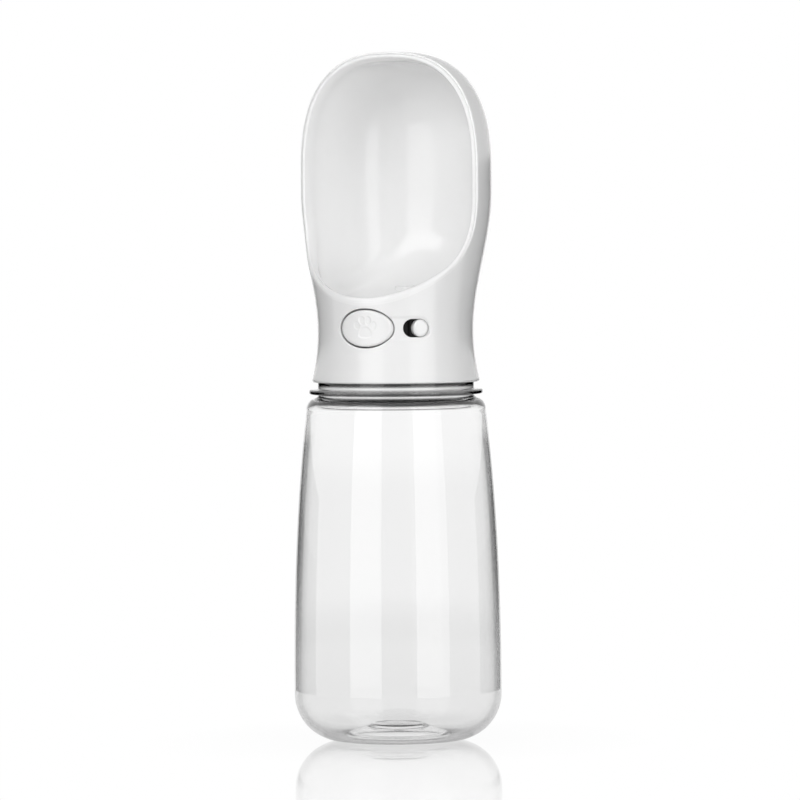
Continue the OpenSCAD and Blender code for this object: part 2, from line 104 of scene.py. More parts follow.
class Form:
    """Points, in millimetres, and faces of a mesh in the making."""

    def __init__(self):
        self.verts, self.faces = [], []

    def add(self, points):
        """Adds points and gives back their numbers."""
        start = len(self.verts)
        self.verts.extend(points)
        return list(range(start, len(self.verts)))

    def join(self, rings):
        """Adds the faces between each two rings that follow each other."""
        for low, high in zip(rings, rings[1:]):
            if len(low) > 1 or len(high) > 1:
                self.faces += band(low, high)

    def to_mesh(self, name):
        """Makes a mesh of it, in metres."""
        mesh = bpy.data.meshes.new(name)
        mesh.from_pydata((np.asarray(self.verts, float) * MM).tolist(), [], self.faces)
        return mesh


def new_object(data):
    """An object of a mesh, lamp or camera, put in the scene under the same name."""
    made = bpy.data.objects.new(data.name, data)
    bpy.context.scene.collection.objects.link(made)
    return made


def new_piece(form, body, slot, replaced, finish=None):
    """Makes a smooth-shaded piece of a form, in place of a node; its finish is the slot's or a named one."""
    mesh = form.to_mesh(replaced + "_skin")
    mesh.validate()
    piece = new_object(mesh)
    finish_piece(piece)
    piece.data.materials.clear()
    piece.data.materials.append(FINISHES[finish or slot])
    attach(piece, body)
    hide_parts(replaced)
    return piece


def finish_piece(piece):
    """Welds double points, turns the faces outwards and shades them smooth."""
    bm = bmesh.new()
    bm.from_mesh(piece.data)
    bmesh.ops.remove_doubles(bm, verts=bm.verts, dist=WELD)
    bmesh.ops.recalc_face_normals(bm, faces=bm.faces)
    bm.to_mesh(piece.data)
    bm.free()
    shade_smooth(piece, SHARP_TURN)
    piece.data.update()


def shade_smooth(piece, sharp_turn):
    """Shades a mesh smooth, apart from edges that turn by more than an angle."""
    piece.data.polygons.foreach_set("use_smooth", [True] * len(piece.data.polygons))
    piece.data.set_sharp_from_angle(angle=sharp_turn)


def band(low, high, closed=True):
    """Faces between two rings of point numbers; a ring of one point closes to a fan."""
    n = max(len(low), len(high))
    faces = []
    for c in range(n if closed else n - 1):
        d = (c + 1) % n
        if len(low) == 1:
            faces.append((low[0], high[d], high[c]))
        elif len(high) == 1:
            faces.append((low[c], low[d], high[0]))
        else:
            faces.append((low[c], low[d], high[d], high[c]))
    return faces


def lathe(profile, cols):
    """A closed form turned about Z; a profile end on the axis becomes one point."""
    form, rings = Form(), []
    angles = np.arange(cols) * 2 * math.pi / cols
    for r, z in profile:
        around = [(r * math.sin(a), -r * math.cos(a), z) for a in angles]
        rings.append(form.add(around if r > ON_AXIS else [(0.0, 0.0, z)]))
    form.join(rings)
    if len(rings[0]) > 1:
        form.join([rings[-1], rings[0]])
    form.verts = np.array(form.verts)
    return form


def corner_arc(x, z, r, a0, a1, steps):
    """Points on an arc in the plane of a profile, angles in degrees."""
    angles = np.radians(np.linspace(a0, a1, steps + 1))
    return [(x + r * math.cos(a), z + r * math.sin(a)) for a in angles]


def cut(piece, form, operation="DIFFERENCE"):
    """Adds or takes away a closed form with the exact boolean."""
    tool = new_object(form.to_mesh("tool"))
    finish_piece(tool)
    mod = piece.modifiers.new("cut", "BOOLEAN")
    mod.operation, mod.object, mod.solver = operation, tool, "EXACT"
    done = bpy.data.meshes.new_from_object(piece.evaluated_get(bpy.context.evaluated_depsgraph_get()))
    piece.modifiers.clear()
    piece.data = done
    bpy.data.objects.remove(tool)


def bisect(f, low, high, steps=46):
    """Where f changes from positive at low to negative at high, for arrays of low and high."""
    low, high = np.array(low, float), np.array(high, float)
    for _ in range(steps):
        mid = (low + high) / 2
        above = f(mid) > 0
        low, high = np.where(above, mid, low), np.where(above, high, mid)
    return (low + high) / 2


def smooth(t):
    """A soft step from 0 to 1."""
    t = np.clip(t, 0, 1)
    return t * t * (3 - 2 * t)


def unit(vectors):
    """Rows of vectors, each made one long."""
    return vectors / np.linalg.norm(vectors, axis=1)[:, None]


# ===== Form of the head
def head_radius(z, inset=0.0):
    """Radius of the head's outside at height z, moved in by inset."""
    z = np.asarray(z, float)
    skirt = WAIST_R + (SKIRT_R - WAIST_R) * np.clip((WAIST_Z - z) / WAIST_H, 0, None) ** SKIRT_POWER
    belly = WAIST_R + (HEAD_R - WAIST_R) * smooth((z - WAIST_Z) / (BELLY_Z - WAIST_Z))
    up = np.clip(z - DOME_Z, 0, None) / (TOP_Z - DOME_Z - inset)
    dome = (HEAD_R - inset) * np.clip(1 - up**DOME_POWER, 0, None) ** (1 / DOME_POWER)
    return np.where(z < DOME_Z, np.where(z < WAIST_Z, skirt, belly) - inset, dome)


def scoop_y(z, back=0.0):
    """The scoop's cut seen from the side, moved back by a distance across it."""
    r = SCOOP_R + back
    end_y = -(SCOOP_F + SCOOP_R) + r * math.cos(SCOOP_TURN)
    end_z = SCOOP_Z - r * math.sin(SCOOP_TURN)
    arc = -(SCOOP_F + SCOOP_R) + np.sqrt(np.clip(r * r - (z - SCOOP_Z) ** 2, 0, None))
    line = end_y - (end_z - z) * math.tan(SCOOP_TURN)
    return np.where(z > SCOOP_Z, -SCOOP_F + back, np.where(z > end_z, arc, line))


def scoop_ends(back, inset):
    """Lowest and highest point where the scoop's cut leaves the head."""
    below, middle, above = (z + 0 * inset for z in SCOOP_SEARCH)
    low = bisect(lambda z: -scoop_y(z, back) - head_radius(z, inset), below, middle)
    high = bisect(lambda z: head_radius(z, inset) + scoop_y(z, back), above, TOP_Z - inset)
    return low, high


# ===== Head shell: rows round the head, open at the scoop, and a fine patch that holds the two openings
SHELL_COLS = 180
COL_ANGLE = 2 * math.pi / SHELL_COLS
PATCH_LOW, PATCH_HIGH, PATCH_ROWS = 147.6, 165.72, 30
PATCH_COLS = (-18, 30)
# Grid of the patch, and the share of its step that it keeps clear of the openings
PATCH_STEP, PATCH_CLEAR = 0.5, 0.55
# Depths of the outside and the inside
SKINS = (0.0, SHELL_WALL)
RISE_ROWS, MEET_Z, CLOSE_ROWS, CROWN_ROWS = 61, 214.0, 52, 5
FIRST_OPEN = PATCH_ROWS + 2
LAST_OPEN = PATCH_ROWS + RISE_ROWS + CLOSE_ROWS - 1
EDGE_ROUND = 0.42
RECESS_DEPTH, RECESS_EDGE = 0.4, 0.6
RECESS_LEFT, RECESS_RIGHT, RECESS_OVER = 4.0, 1.1, 1.0
SLEEVE_MIDDLE, SLEEVE_EASE, COLLAR_ROUND = 142.0, 0.05, 0.3
BORE_TOP, SKIRT_LOW, SKIRT_TOP, SKIRT_STEP = PATCH_LOW - 0.2, HEAD_Z + 1.5, PATCH_LOW - 0.3, 0.8
# Angles from the front, and the direction in which the wall is crossed at each
CROSS_AT = np.radians([-42, -24, 24, 28, 49.5, 60])
CROSS_WAY = np.radians([-42, 0, 0, 38.5, 38.5, 60])


def turn_in(phi):
    """Direction in which the wall is crossed: radial, but straight through each opening."""
    near_openings = (phi >= CROSS_AT[0]) & (phi <= CROSS_AT[-1])
    return np.where(near_openings, np.interp(phi, CROSS_AT, CROSS_WAY), phi)


def shell_point(phi, z, depth):
    """Point of the shell at angle phi from the front, a depth below its outside."""
    r = head_radius(z)
    way = turn_in(phi)
    inner = head_radius(z, depth)
    across = r * np.cos(phi - way)
    t = across - np.sqrt(np.clip(across**2 - (r**2 - inner**2), 0, None))
    return np.stack([r * np.sin(phi) - t * np.sin(way), -r * np.cos(phi) + t * np.cos(way), z + 0 * phi], -1)


def button_outline(grow, steps=96):
    """Outline of the button's opening as (angle, height), grown by a distance."""
    t = np.arange(steps) * 2 * math.pi / steps
    x, z = (BUTTON_RX + grow) * np.cos(t), BUTTON_Z + (BUTTON_RZ + grow) * np.sin(t)
    return np.arcsin(x / head_radius(z)), z


def slot_outline(grow, arc_steps=24):
    """Outline of the lock's slot as (angle, height), grown by a distance."""
    half, r = (SLOT_L - SLOT_H) / 2, SLOT_H / 2 + grow
    a = np.linspace(-math.pi / 2, math.pi / 2, arc_steps + 1)
    straight = np.linspace(-half, half, 7)[1:-1]
    u = np.concatenate([half + r * np.cos(a), straight[::-1], -half - r * np.cos(a), straight])
    z = BUTTON_Z + np.concatenate([r * np.sin(a), r + 0 * straight, -r * np.sin(a), -r + 0 * straight])
    return LOCK_ANGLE + np.arcsin(u / head_radius(z)), z


OUTLINES = (button_outline, slot_outline)


def recess_distance(phi, z):
    """Distance into the shallow recess that joins the button's opening and the lock's slot."""
    u = phi * WAIST_R
    left, right = RECESS_LEFT, LOCK_ANGLE * WAIST_R + SLOT_L / 2 + RECESS_RIGHT
    half = SLOT_H / 2 + RECESS_OVER
    qx = np.abs(u - (left + right) / 2) - ((right - left) / 2 - half)
    qz = np.abs(z - BUTTON_Z)
    outside = np.hypot(np.clip(qx, 0, None), qz)
    return half - np.where(qx > 0, outside, qz)


def recess_depth(phi, z):
    """Depth of the recess below the shell's outside."""
    return RECESS_DEPTH * smooth(recess_distance(phi, z) / RECESS_EDGE)


def in_polygon(px, pz, poly):
    """Whether each point lies inside the closed outline."""
    inside = np.zeros(len(px), bool)
    for (x0, z0), (x1, z1) in zip(poly, np.roll(poly, -1, axis=0)):
        crosses = (z0 > pz) != (z1 > pz)
        with np.errstate(divide="ignore", invalid="ignore"):
            inside ^= crosses & (px < (x1 - x0) * (pz - z0) / (z1 - z0) + x0)
    return inside


def near_outline(px, pz, outline):
    """Smallest distance from each point to the outline's own points."""
    d = np.full(len(px), np.inf)
    for x, z in outline:
        d = np.minimum(d, np.hypot(px - x, pz - z))
    return d


def front_patch(border_phi, border_z):
    """Triangles of the front patch: (angles, heights, faces, the two rings of point numbers)."""
    border = np.stack([border_phi * WAIST_R, border_z], 1)
    rings = [np.stack([p * WAIST_R, z], 1) for p, z in (outline(EDGE_ROUND) for outline in OUTLINES)]
    xs = np.arange(border[:, 0].min() + PATCH_STEP, border[:, 0].max() - PATCH_STEP / 2, PATCH_STEP)
    zs = np.arange(PATCH_LOW + PATCH_STEP, PATCH_HIGH - PATCH_STEP / 2, PATCH_STEP)
    gx, gz = (a.ravel() for a in np.meshgrid(xs, zs))
    keep = np.ones(len(gx), bool)
    for ring in rings:
        keep &= ~in_polygon(gx, gz, ring) & (near_outline(gx, gz, ring) > PATCH_CLEAR * PATCH_STEP)
    points = np.concatenate([border, *rings, np.stack([gx[keep], gz[keep]], 1)])
    edges, sizes = [], [len(border)] + [len(r) for r in rings]
    starts = [0, *np.cumsum(sizes).tolist()]
    for s, n in zip(starts, sizes):
        edges += [(s + i, s + (i + 1) % n) for i in range(n)]
    out = delaunay_2d_cdt([Vector(p) for p in points], edges, [], 0, 1e-6, True)
    number = [ids[0] for ids in out[3]]
    tris = np.array([[number[i] for i in f] for f in out[2]])
    centre = points[tris].mean(1)
    ok = in_polygon(centre[:, 0], centre[:, 1], border)
    for ring in rings:
        ok &= ~in_polygon(centre[:, 0], centre[:, 1], ring)
    ring_ids = [list(range(starts[i + 1], starts[i + 2])) for i in range(2)]
    return points[:, 0] / WAIST_R, points[:, 1], tris[ok].tolist(), ring_ids


def shell_heights(back):
    """Heights of the shell's rows, outside and inside, from the patch's foot to the crown."""
    low, high = scoop_ends(back, np.array(SKINS))
    step = (PATCH_HIGH - PATCH_LOW) / PATCH_ROWS
    patch = list(np.arange(PATCH_LOW, PATCH_HIGH - step / 2, step)) + [PATCH_HIGH]
    rise = np.linspace(0, 1, RISE_ROWS) ** 2
    close = 1 - (1 - np.linspace(0, 1, CLOSE_ROWS + 1)[1:]) ** 2
    crown_r = -scoop_y(high[0], back) * np.arange(CROWN_ROWS, 0, -1) / (CROWN_ROWS + 1)
    heights = []
    for side, inset in enumerate(SKINS):
        ratio = 1 - (crown_r / (HEAD_R - inset)) ** DOME_POWER
        crown = DOME_Z + (TOP_Z - DOME_Z - inset) * ratio ** (1 / DOME_POWER)
        foot, top = low[side], high[side]
        rising, closing = foot + (MEET_Z - foot) * rise, MEET_Z + (top - MEET_Z) * close
        heights.append(np.concatenate([patch, rising, closing, crown]))
    return heights


def shell_row(k, z, inset, back):
    """Points of row k of the shell; a row that the scoop opens starts and ends at its cut."""
    n, edge = SHELL_COLS, 0.0
    if FIRST_OPEN <= k <= LAST_OPEN:
        share = -scoop_y(z, back) / head_radius(z, inset)
        n, edge = SHELL_COLS + 1, math.acos(min(1.0, max(-1.0, float(share))))
    phi = edge + np.arange(n) / SHELL_COLS * (2 * math.pi - 2 * edge)
    if k >= FIRST_OPEN:
        r = float(head_radius(z, inset))
        return np.stack([r * np.sin(phi), -r * np.cos(phi), np.full(n, z)], 1)
    signed = (phi + math.pi) % (2 * math.pi) - math.pi
    return shell_point(signed, np.full(n, z), inset)


def shell_band(low, high):
    """Faces between two rows of the shell, either of which may be open at the scoop."""
    if len(low) == len(high):
        return band(low, high, len(low) == SHELL_COLS)
    low, high = (row + row[:1] if len(row) == SHELL_COLS else row for row in (low, high))
    return band(low, high, False)


def add_front_patch(form, rows, heights):
    """Fills the front of the outside and inside, and joins them round the two openings."""
    first, last = PATCH_COLS
    cols = list(range(first, last + 1))
    path = [(0, c) for c in cols] + [(k, last) for k in range(1, PATCH_ROWS)]
    path += [(PATCH_ROWS, c) for c in cols[::-1]] + [(k, first) for k in range(PATCH_ROWS - 1, 0, -1)]
    border_phi, border_z = np.array([(c * COL_ANGLE, heights[k]) for k, c in path]).T
    phi, z, tris, holes = front_patch(border_phi, border_z)
    inner_phi, inner_z = phi.copy(), z.copy()
    for ids, outline in zip(holes, OUTLINES):
        inner_phi[ids], inner_z[ids] = outline(0)
    skins = [shell_point(phi, z, recess_depth(phi, z)), shell_point(inner_phi, inner_z, 0 * z + SHELL_WALL)]
    numbers = []
    for side, skin in enumerate(skins):
        own = [rows[side][k][c % SHELL_COLS] for k, c in path] + form.add(skin[len(path) :].tolist())
        numbers.append(own)
        form.faces += [tuple(own[i] for i in t) for t in tris]
    for ids, outline in zip(holes, OUTLINES):
        rings = [[numbers[0][i] for i in ids]]
        for angle in np.radians([22.5, 45, 67.5, 90]):
            p, h = outline(EDGE_ROUND * (1 - math.sin(angle)))
            sunk = recess_depth(p, h) + EDGE_ROUND * (1 - math.cos(angle))
            rings.append(form.add(shell_point(p, h, sunk).tolist()))
        form.join(rings + [[numbers[1][i] for i in ids]])


def add_skirt(form, inside, outside):
    """Skirt, from the inside of the patch's foot round the lower edge to its outside."""
    profile = [(BORE_R, BORE_TOP)]
    profile += [(SLEEVE_SPACE_R, z) for z in (SLEEVE_SPACE_Z + SLEEVE_EASE, SLEEVE_MIDDLE, COLLAR_SPACE_Z)]
    profile += [(COLLAR_SPACE_R, COLLAR_SPACE_Z)]
    profile += corner_arc(COLLAR_SPACE_R + COLLAR_ROUND, HEAD_Z + COLLAR_ROUND, COLLAR_ROUND, 180, 270, 3)
    foot = float(head_radius(HEAD_Z + SKIRT_ROUND))
    profile += corner_arc(foot - SKIRT_ROUND, HEAD_Z + SKIRT_ROUND, SKIRT_ROUND, -90, 0, 6)
    profile += [(float(head_radius(z)), z) for z in np.arange(SKIRT_LOW, SKIRT_TOP, SKIRT_STEP)]
    angles = np.arange(SHELL_COLS) * COL_ANGLE
    rings = [form.add([(r * math.sin(a), -r * math.cos(a), z) for a in angles]) for r, z in profile]
    form.join([inside, *rings, outside])


def make_head_shell():
    """The casing: both skins, the wall along the scoop, the front with its openings, and the skirt."""
    back = RIM_T / 2 + HAIRLINE
    form, heights, rows = Form(), shell_heights(back), []
    for inset, side in zip(SKINS, heights):
        rows.append([form.add(shell_row(k, z, inset, back).tolist()) for k, z in enumerate(side)])
    in_patch = [c % SHELL_COLS for c in range(*PATCH_COLS)]
    for inset, side in zip(SKINS, rows):
        for k, (low, high) in enumerate(zip(side, side[1:])):
            skip = in_patch if k < PATCH_ROWS else []
            form.faces += [face for c, face in enumerate(shell_band(low, high)) if c not in skip]
        form.join([side[-1], form.add([[0, 0, TOP_Z - inset]])])
    for k in range(FIRST_OPEN - 1, LAST_OPEN + 1):
        for end in (0, -1):
            pairs = [row for side in rows for row in side[k : k + 2]]
            a, b, c, d = (row[end if len(row) > SHELL_COLS else 0] for row in pairs)
            form.faces.append((a, b, d, c))
    add_front_patch(form, rows, heights[0])
    add_skirt(form, rows[1][0], rows[0][0])
    new_piece(form, "head_body", "white_plastic", "head_shell")


# ===== Drinking dish: a rim swept along the scoop's edge, the bowl behind it, and the outlet
DISH_COLS, DISH_ROWS = 240, 54
DISH_EYE = np.array([0.0, -6.0, 214.0])
DISH_AIM = np.array([0.0, 1.0, -0.12]) / math.hypot(1, 0.12)
RAY_NEAR, RAY_FAR = 5.0, 75.0
INSET_LOW, INSET_HIGH = 3.3, 12.0
# Widths at the rim's foot and along its sides, and where between the two they change
SLOPE_FOOT, SLOPE_SIDE = 1.8, 6.5
BEAD_FOOT, BEAD_SIDE, BEAD_HALF = 0.92, 1.35, 0.85
FOOT_END, SIDE_FADE = 0.12, 0.8
BEAD_BACK, BEAD_RISE = 0.1, 1.0
# Insets of the rows under the rim, and (back, share of the bead's inset) of those outside it
UNDER_RIM = (2.0, 1.2, 0.5, 0.15, 0.0)
OUTSIDE_RIM = ((0.8, 0.0), (0.45, 0.0), (0.2, 0.16), (0.1, 0.56))
OUTLET_COLS, SLOT_CUT_TOP, CUT_PAST = 48, 180.0, 2.0


def rim_loop(back, inset):
    """Points of a closed line along the rim: back across the cut, inset below the head's outside."""
    w = np.arange(DISH_COLS) * 2 * math.pi / DISH_COLS
    inset = inset + 0 * w
    low, high = scoop_ends(back, inset)
    z = low + (high - low) * (1 - np.cos(w)) / 2
    y = scoop_y(z, back)
    x = np.sqrt(np.clip(head_radius(z, inset) ** 2 - y * y, 0, None)) * np.where(w <= math.pi, 1, -1)
    x[0] = 0
    x[DISH_COLS // 2] = 0
    return np.stack([x, y, z], 1)


def along_rim(foot, side):
    """A width along the rim that eases from one value at its foot to another at its sides."""
    up = 1 - np.cos(np.arange(DISH_COLS) * 2 * math.pi / DISH_COLS)
    return foot + (side - foot) * smooth((up - FOOT_END) / SIDE_FADE)


def bowl_gap(p):
    """Distance from a point in the bowl to the nearest of its walls and floor, with rounded corners."""
    x, y, z = p[..., 0], p[..., 1], p[..., 2]
    r = np.hypot(x, y)
    wall = head_radius(z, DISH_INSET) - r
    turn = np.arctan2(y - RAMP_Y, RAMP_Z - z)
    floor = FLOOR_R - np.hypot(y - FLOOR_FRONT, z - DISH_FLOOR - FLOOR_R)
    ramp = RAMP_R - np.hypot(y - RAMP_Y, z - RAMP_Z)
    upright = RAMP_Y + RAMP_R - y
    ground = np.where(turn < FLOOR_TURN, floor, np.where(z < RAMP_Z, ramp, upright))
    lean = np.clip(turn, 0, math.pi / 2)
    along = np.clip(y / np.maximum(r, ON_AXIS), 0, 1) * np.sin(lean)
    k = np.maximum(DISH_CORNER * (1 - along**2), DISH_CORNER_LEAST)
    blend = k - np.hypot(np.clip(k - wall, 0, None), np.clip(k - ground, 0, None))
    return np.where((wall < k) | (ground < k), blend, np.minimum(wall, ground))


def bowl_inset(back):
    """How far below the head's outside the bowl meets a line across the rim, all round."""
    ones = np.ones(DISH_COLS)
    return bisect(lambda i: -bowl_gap(rim_loop(back, i)), INSET_LOW * ones, INSET_HIGH * ones, 40)


def bowl_points(ways):
    """Where rays from the middle of the scoop meet the bowl."""
    near, far = np.full(len(ways), RAY_NEAR), np.full(len(ways), RAY_FAR)
    return DISH_EYE + bisect(lambda t: bowl_gap(DISH_EYE + t[:, None] * ways), near, far)[:, None] * ways


def rim_rows():
    """Rows over the rim: its underside, its outside and the bead rolled over its edge."""
    bead = along_rim(BEAD_FOOT, BEAD_SIDE)
    rows = [rim_loop(RIM_T / 2, inset) for inset in UNDER_RIM]
    rows += [rim_loop(back, share * (bead - BEAD_HALF)) for back, share in OUTSIDE_RIM]
    for a in np.radians(np.arange(0, 151, 15)):
        rows.append(rim_loop(BEAD_BACK - BEAD_RISE * math.sin(a), bead - BEAD_HALF * math.cos(a)))
    return rows


def bowl_rows():
    """Rows of the bowl, met by rays that turn from the rim towards the back, and its last point."""
    lower = along_rim(SLOPE_FOOT, SLOPE_SIDE)
    rows = [rim_loop(lower, bowl_inset(lower))]
    first = unit(rows[0] - DISH_EYE)
    swing = np.arccos(np.clip(first @ DISH_AIM, -1, 1))[:, None]
    for q in np.arange(1, DISH_ROWS) / DISH_ROWS:
        ways = (np.sin((1 - q) * swing) * first + np.sin(q * swing) * DISH_AIM) / np.sin(swing)
        rows.append(bowl_points(ways))
    return rows, bowl_points(DISH_AIM[None])[0]


def blend_rows(rim, bowl):
    """Rows of a short curve from the rim's rolled edge into the bowl."""
    p0, p3 = rim[-1], bowl[0]
    reach = np.linalg.norm(p3 - p0, axis=1)[:, None] / 3
    p1, p2 = p0 + unit(rim[-1] - rim[-2]) * reach, p3 - unit(bowl[1] - bowl[0]) * reach
    shares = [((1 - s) ** 3, 3 * s * (1 - s) ** 2, 3 * s * s * (1 - s), s**3) for s in (0.25, 0.5, 0.75)]
    return [a * p0 + b * p1 + c * p2 + d * p3 for a, b, c, d in shares]


def under_rows(bowl, centre):
    """Rows of the bowl's underside, its wall's thickness away."""
    rows = []
    for k, row in enumerate(bowl):
        along = np.roll(row, -1, axis=0) - np.roll(row, 1, axis=0)
        deeper = (bowl[k + 1] if k + 1 < len(bowl) else centre) - bowl[max(k - 1, 0)]
        normal = unit(np.cross(along, deeper))
        flip = np.sign(np.sum(normal * (row - DISH_EYE), axis=1))[:, None]
        rows.append(row + normal * flip * DISH_WALL)
    return rows


def cut_outlet(dish):
    """Adds the boss under the outlet and cuts the spout's socket and the slot that the water leaves by."""
    boss_r, bore_z = SOCKET_R + SOCKET_WALL, BOSS_Z - CUT_PAST
    boss = lathe([(0, BOSS_Z), (boss_r, BOSS_Z), (boss_r, BOSS_TOP), (0, BOSS_TOP)], OUTLET_COLS)
    bore = [(0, bore_z), (SOCKET_R, bore_z), (SOCKET_R, SEAT_Z)]
    socket = lathe(bore + [(SPOUT_R, SEAT_Z), (SPOUT_R, SPOUT_TOP), (0, SPOUT_TOP)], OUTLET_COLS)
    for form, operation in ((boss, "UNION"), (socket, "DIFFERENCE")):
        form.verts += np.array([0, OUTLET_Y, 0])
        cut(dish, form, operation)
    r = OUTLET_L / 2
    middle = OUTLET_W / 2 - r
    outline = [(middle + x, y) for x, y in corner_arc(0, 0, r, -90, 90, 8)]
    outline += [(-middle + x, y) for x, y in corner_arc(0, 0, r, 90, 270, 8)]
    slot = Form()
    low, high = (slot.add([(x, y + OUTLET_Y, z) for x, y in outline]) for z in (BOSS_Z + 1, SLOT_CUT_TOP))
    slot.faces += [tuple(low[::-1]), tuple(high)]
    slot.join([low, high])
    cut(dish, slot)


def make_dish():
    """The dish, from under its rim over the bead, down the bowl and back along its underside."""
    rim, (bowl, centre) = rim_rows(), bowl_rows()
    form = Form()
    rings = [form.add(row) for row in rim + blend_rows(rim, bowl) + bowl]
    rings += [form.add([centre]), form.add([centre + DISH_AIM * DISH_WALL])]
    rings += [form.add(row) for row in under_rows(bowl, centre)[::-1]]
    form.join(rings + rings[:1])
    # The dish wears a lighter copy of the white plastic, painted light for the light in the dish
    dish = new_piece(form, "head_body", "white_plastic", "drinking_dish", "dish_plastic_painted_light")
    cut_outlet(dish)
    finish_piece(dish)


# ===== Button and knob
BUTTON_COLS, BUTTON_ROWS = 144, 40
BUTTON_EASE, BUTTON_EDGE = 0.1, 1.1
PAD_DEPTH = 0.16
# Toes of one side as (x, z, half width, half height, tilt in degrees), and the pad without a tilt
TOES = [(3.3, 1.1, 1.15, 1.5, -18), (1.2, 3.0, 1.15, 1.6, -6)]
MAIN_PAD = (0.0, -1.7, 2.6, 2.1)
TOE_END, TOE_SOFT = 1.15, 0.35
PAD_END, PAD_SOFT, PAD_BEND, PAD_DROP = 1.12, 0.25, 0.35, 0.1
KNOB_COLS, KNOB_EDGE, KNOB_TALL = 72, 1.1, 1.12
KNOB_DOME, KNOB_FLAT_R = 0.03, 1.0


def paw_relief(x, z):
    """Depth of a plain paw pressed into the button's face."""
    dz = z - BUTTON_Z
    depth = np.zeros_like(x)
    for side, (cx, cz, rx, rz, tilt) in ((side, toe) for side in (-1, 1) for toe in TOES):
        c, s, across = math.cos(math.radians(tilt)), side * math.sin(math.radians(tilt)), x - side * cx
        u, v = (across * c + (dz - cz) * s) / rx, ((dz - cz) * c - across * s) / rz
        depth = np.maximum(depth, PAD_DEPTH * smooth((TOE_END - np.hypot(u, v)) / TOE_SOFT))
    cx, cz, rx, rz = MAIN_PAD
    u, v = (x - cx) / rx, (dz - cz) / rz
    lobes = np.hypot(u, v + PAD_BEND * u * u - PAD_DROP)
    return np.maximum(depth, PAD_DEPTH * smooth((PAD_END - lobes) / PAD_SOFT))


def make_button():
    """The button: its face follows the head's curve, with a rounded edge, and a boss behind for the rod."""
    gap = BUTTON_GAP + BUTTON_EASE
    rx, rz = BUTTON_RX - gap, BUTTON_RZ - gap
    t = np.arange(BUTTON_COLS) * 2 * math.pi / BUTTON_COLS
    cos_t, sin_t = np.cos(t), np.sin(t)

    def under_face(x, z, depth):
        return np.stack([x, -np.sqrt((head_radius(z) - depth) ** 2 - x * x), z], 1)

    def oval(share, edge, depth):
        x, z = (rx - edge) * share * cos_t, BUTTON_Z + (rz - edge) * share * sin_t
        return under_face(x, z, depth + paw_relief(x, z) if depth < BUTTON_T else depth)

    def circle(r, y):
        return np.stack([r * cos_t, y + 0 * t, BUTTON_Z + r * sin_t], 1)

    rows = [oval(0, BUTTON_EDGE, 0.0)[:1]]
    rows += [oval(share, BUTTON_EDGE, 0.0) for share in np.arange(1, BUTTON_ROWS + 1) / BUTTON_ROWS]
    for a in np.radians([18, 36, 54, 72, 90]):
        rows.append(oval(1, BUTTON_EDGE * (1 - math.sin(a)), BUTTON_EDGE * (1 - math.cos(a))))
    rows.append(oval(1, 0, BUTTON_T))
    boss_y = BOSS_DEPTH - float(head_radius(BUTTON_Z))
    rows.append(under_face(BOSS_R * cos_t, BUTTON_Z + BOSS_R * sin_t, BUTTON_T))
    rows += [circle(BOSS_R, boss_y), circle(ROD_HOLE_R, boss_y), circle(ROD_HOLE_R, -ROD_FRONT)]
    rows.append([[0, -ROD_FRONT, BUTTON_Z]])
    form = Form()
    form.join([form.add(row) for row in rows])
    new_piece(form, "button_body", "white_plastic", "dispense_button")


def make_knob():
    """The lock's knob: a short stud, a little taller than wide, with a rounded edge and a domed face."""
    front = float(head_radius(BUTTON_Z)) + KNOB_PROUD
    flat_r, brow = KNOB_R - KNOB_EDGE, front - KNOB_DOME
    profile = [(0, front), (KNOB_FLAT_R, front - KNOB_DOME / 3), (flat_r, brow)]
    for a in np.radians(np.arange(10, 91, 10)):
        profile.append((flat_r + KNOB_EDGE * math.sin(a), brow - KNOB_EDGE + KNOB_EDGE * math.cos(a)))
    profile += [(KNOB_R, KNOB_BACK), (0, KNOB_BACK)]
    form = lathe(profile, KNOB_COLS)
    u, v, out = form.verts.T
    u, v = u + KNOB_U, v * KNOB_TALL
    c, s = math.cos(LOCK_ANGLE), math.sin(LOCK_ANGLE)
    form.verts = np.stack([u * c + out * s, u * s - out * c, v + BUTTON_Z], 1)
    new_piece(form, "lock_body", "white_plastic", "lock_knob")


# ===== Bottle
BOTTLE_COLS, WALL_ROWS, FOOT_ROWS = 180, 73, 36
PUNT_RING_R, PUNT_RING_W, RING_BELOW, RING_ABOVE = 10.0, 0.6, -1.2, 0.5
# Distances from the axis at which the base's dome is drawn, in and out from its ring mark
PUNT_BELOW = [0, *np.arange(1.2, 4.4, 0.8), *np.arange(4.5, 15.1, 0.25), *np.arange(15.6, PUNT_R - 1.2, 0.9)]
PUNT_ABOVE = [*np.arange(PUNT_R - 1.4, 15.2, -0.9), *np.arange(15, 4.4, -0.25), *np.arange(3.9, 0.6, -0.9), 0]
# The standing ring under and over, as (distance out from the dome's edge, height)
STAND_BELOW = [(-0.75, 0.32), (-0.25, 0.1), (0.3, 0.01)]
STAND_ABOVE = [(0.3, 1.21), (-0.25, 1.3), (-0.8, 1.52)]
# The groove under the flange, as (distance out from the collar, height over the flange's underside)
UNDER_FLANGE = [(0.25, -0.95), (0, -0.6), (0, -0.25), (0.3, 0)]
FLANGE_ROUND, FLANGE_FILLET, NECK_ROUND, NECK_FILLET, LEDGE_ROUND = 0.6, 0.3, 0.5, 0.3, 0.8
THREAD_START, THREAD_HALF, THREAD_FLANK, THREAD_FADE, THREAD_STEP = 2.1, 1.15, 0.7, 0.08, 0.2


def body_radius(z):
    """Radius of the bottle's outside between its foot and its shoulder."""
    return BOTTLE_R - (BOTTLE_R - SHOULDER_R) * ((z - FOOT_R) / (BOTTLE_H - FOOT_R)) ** TAPER_POWER


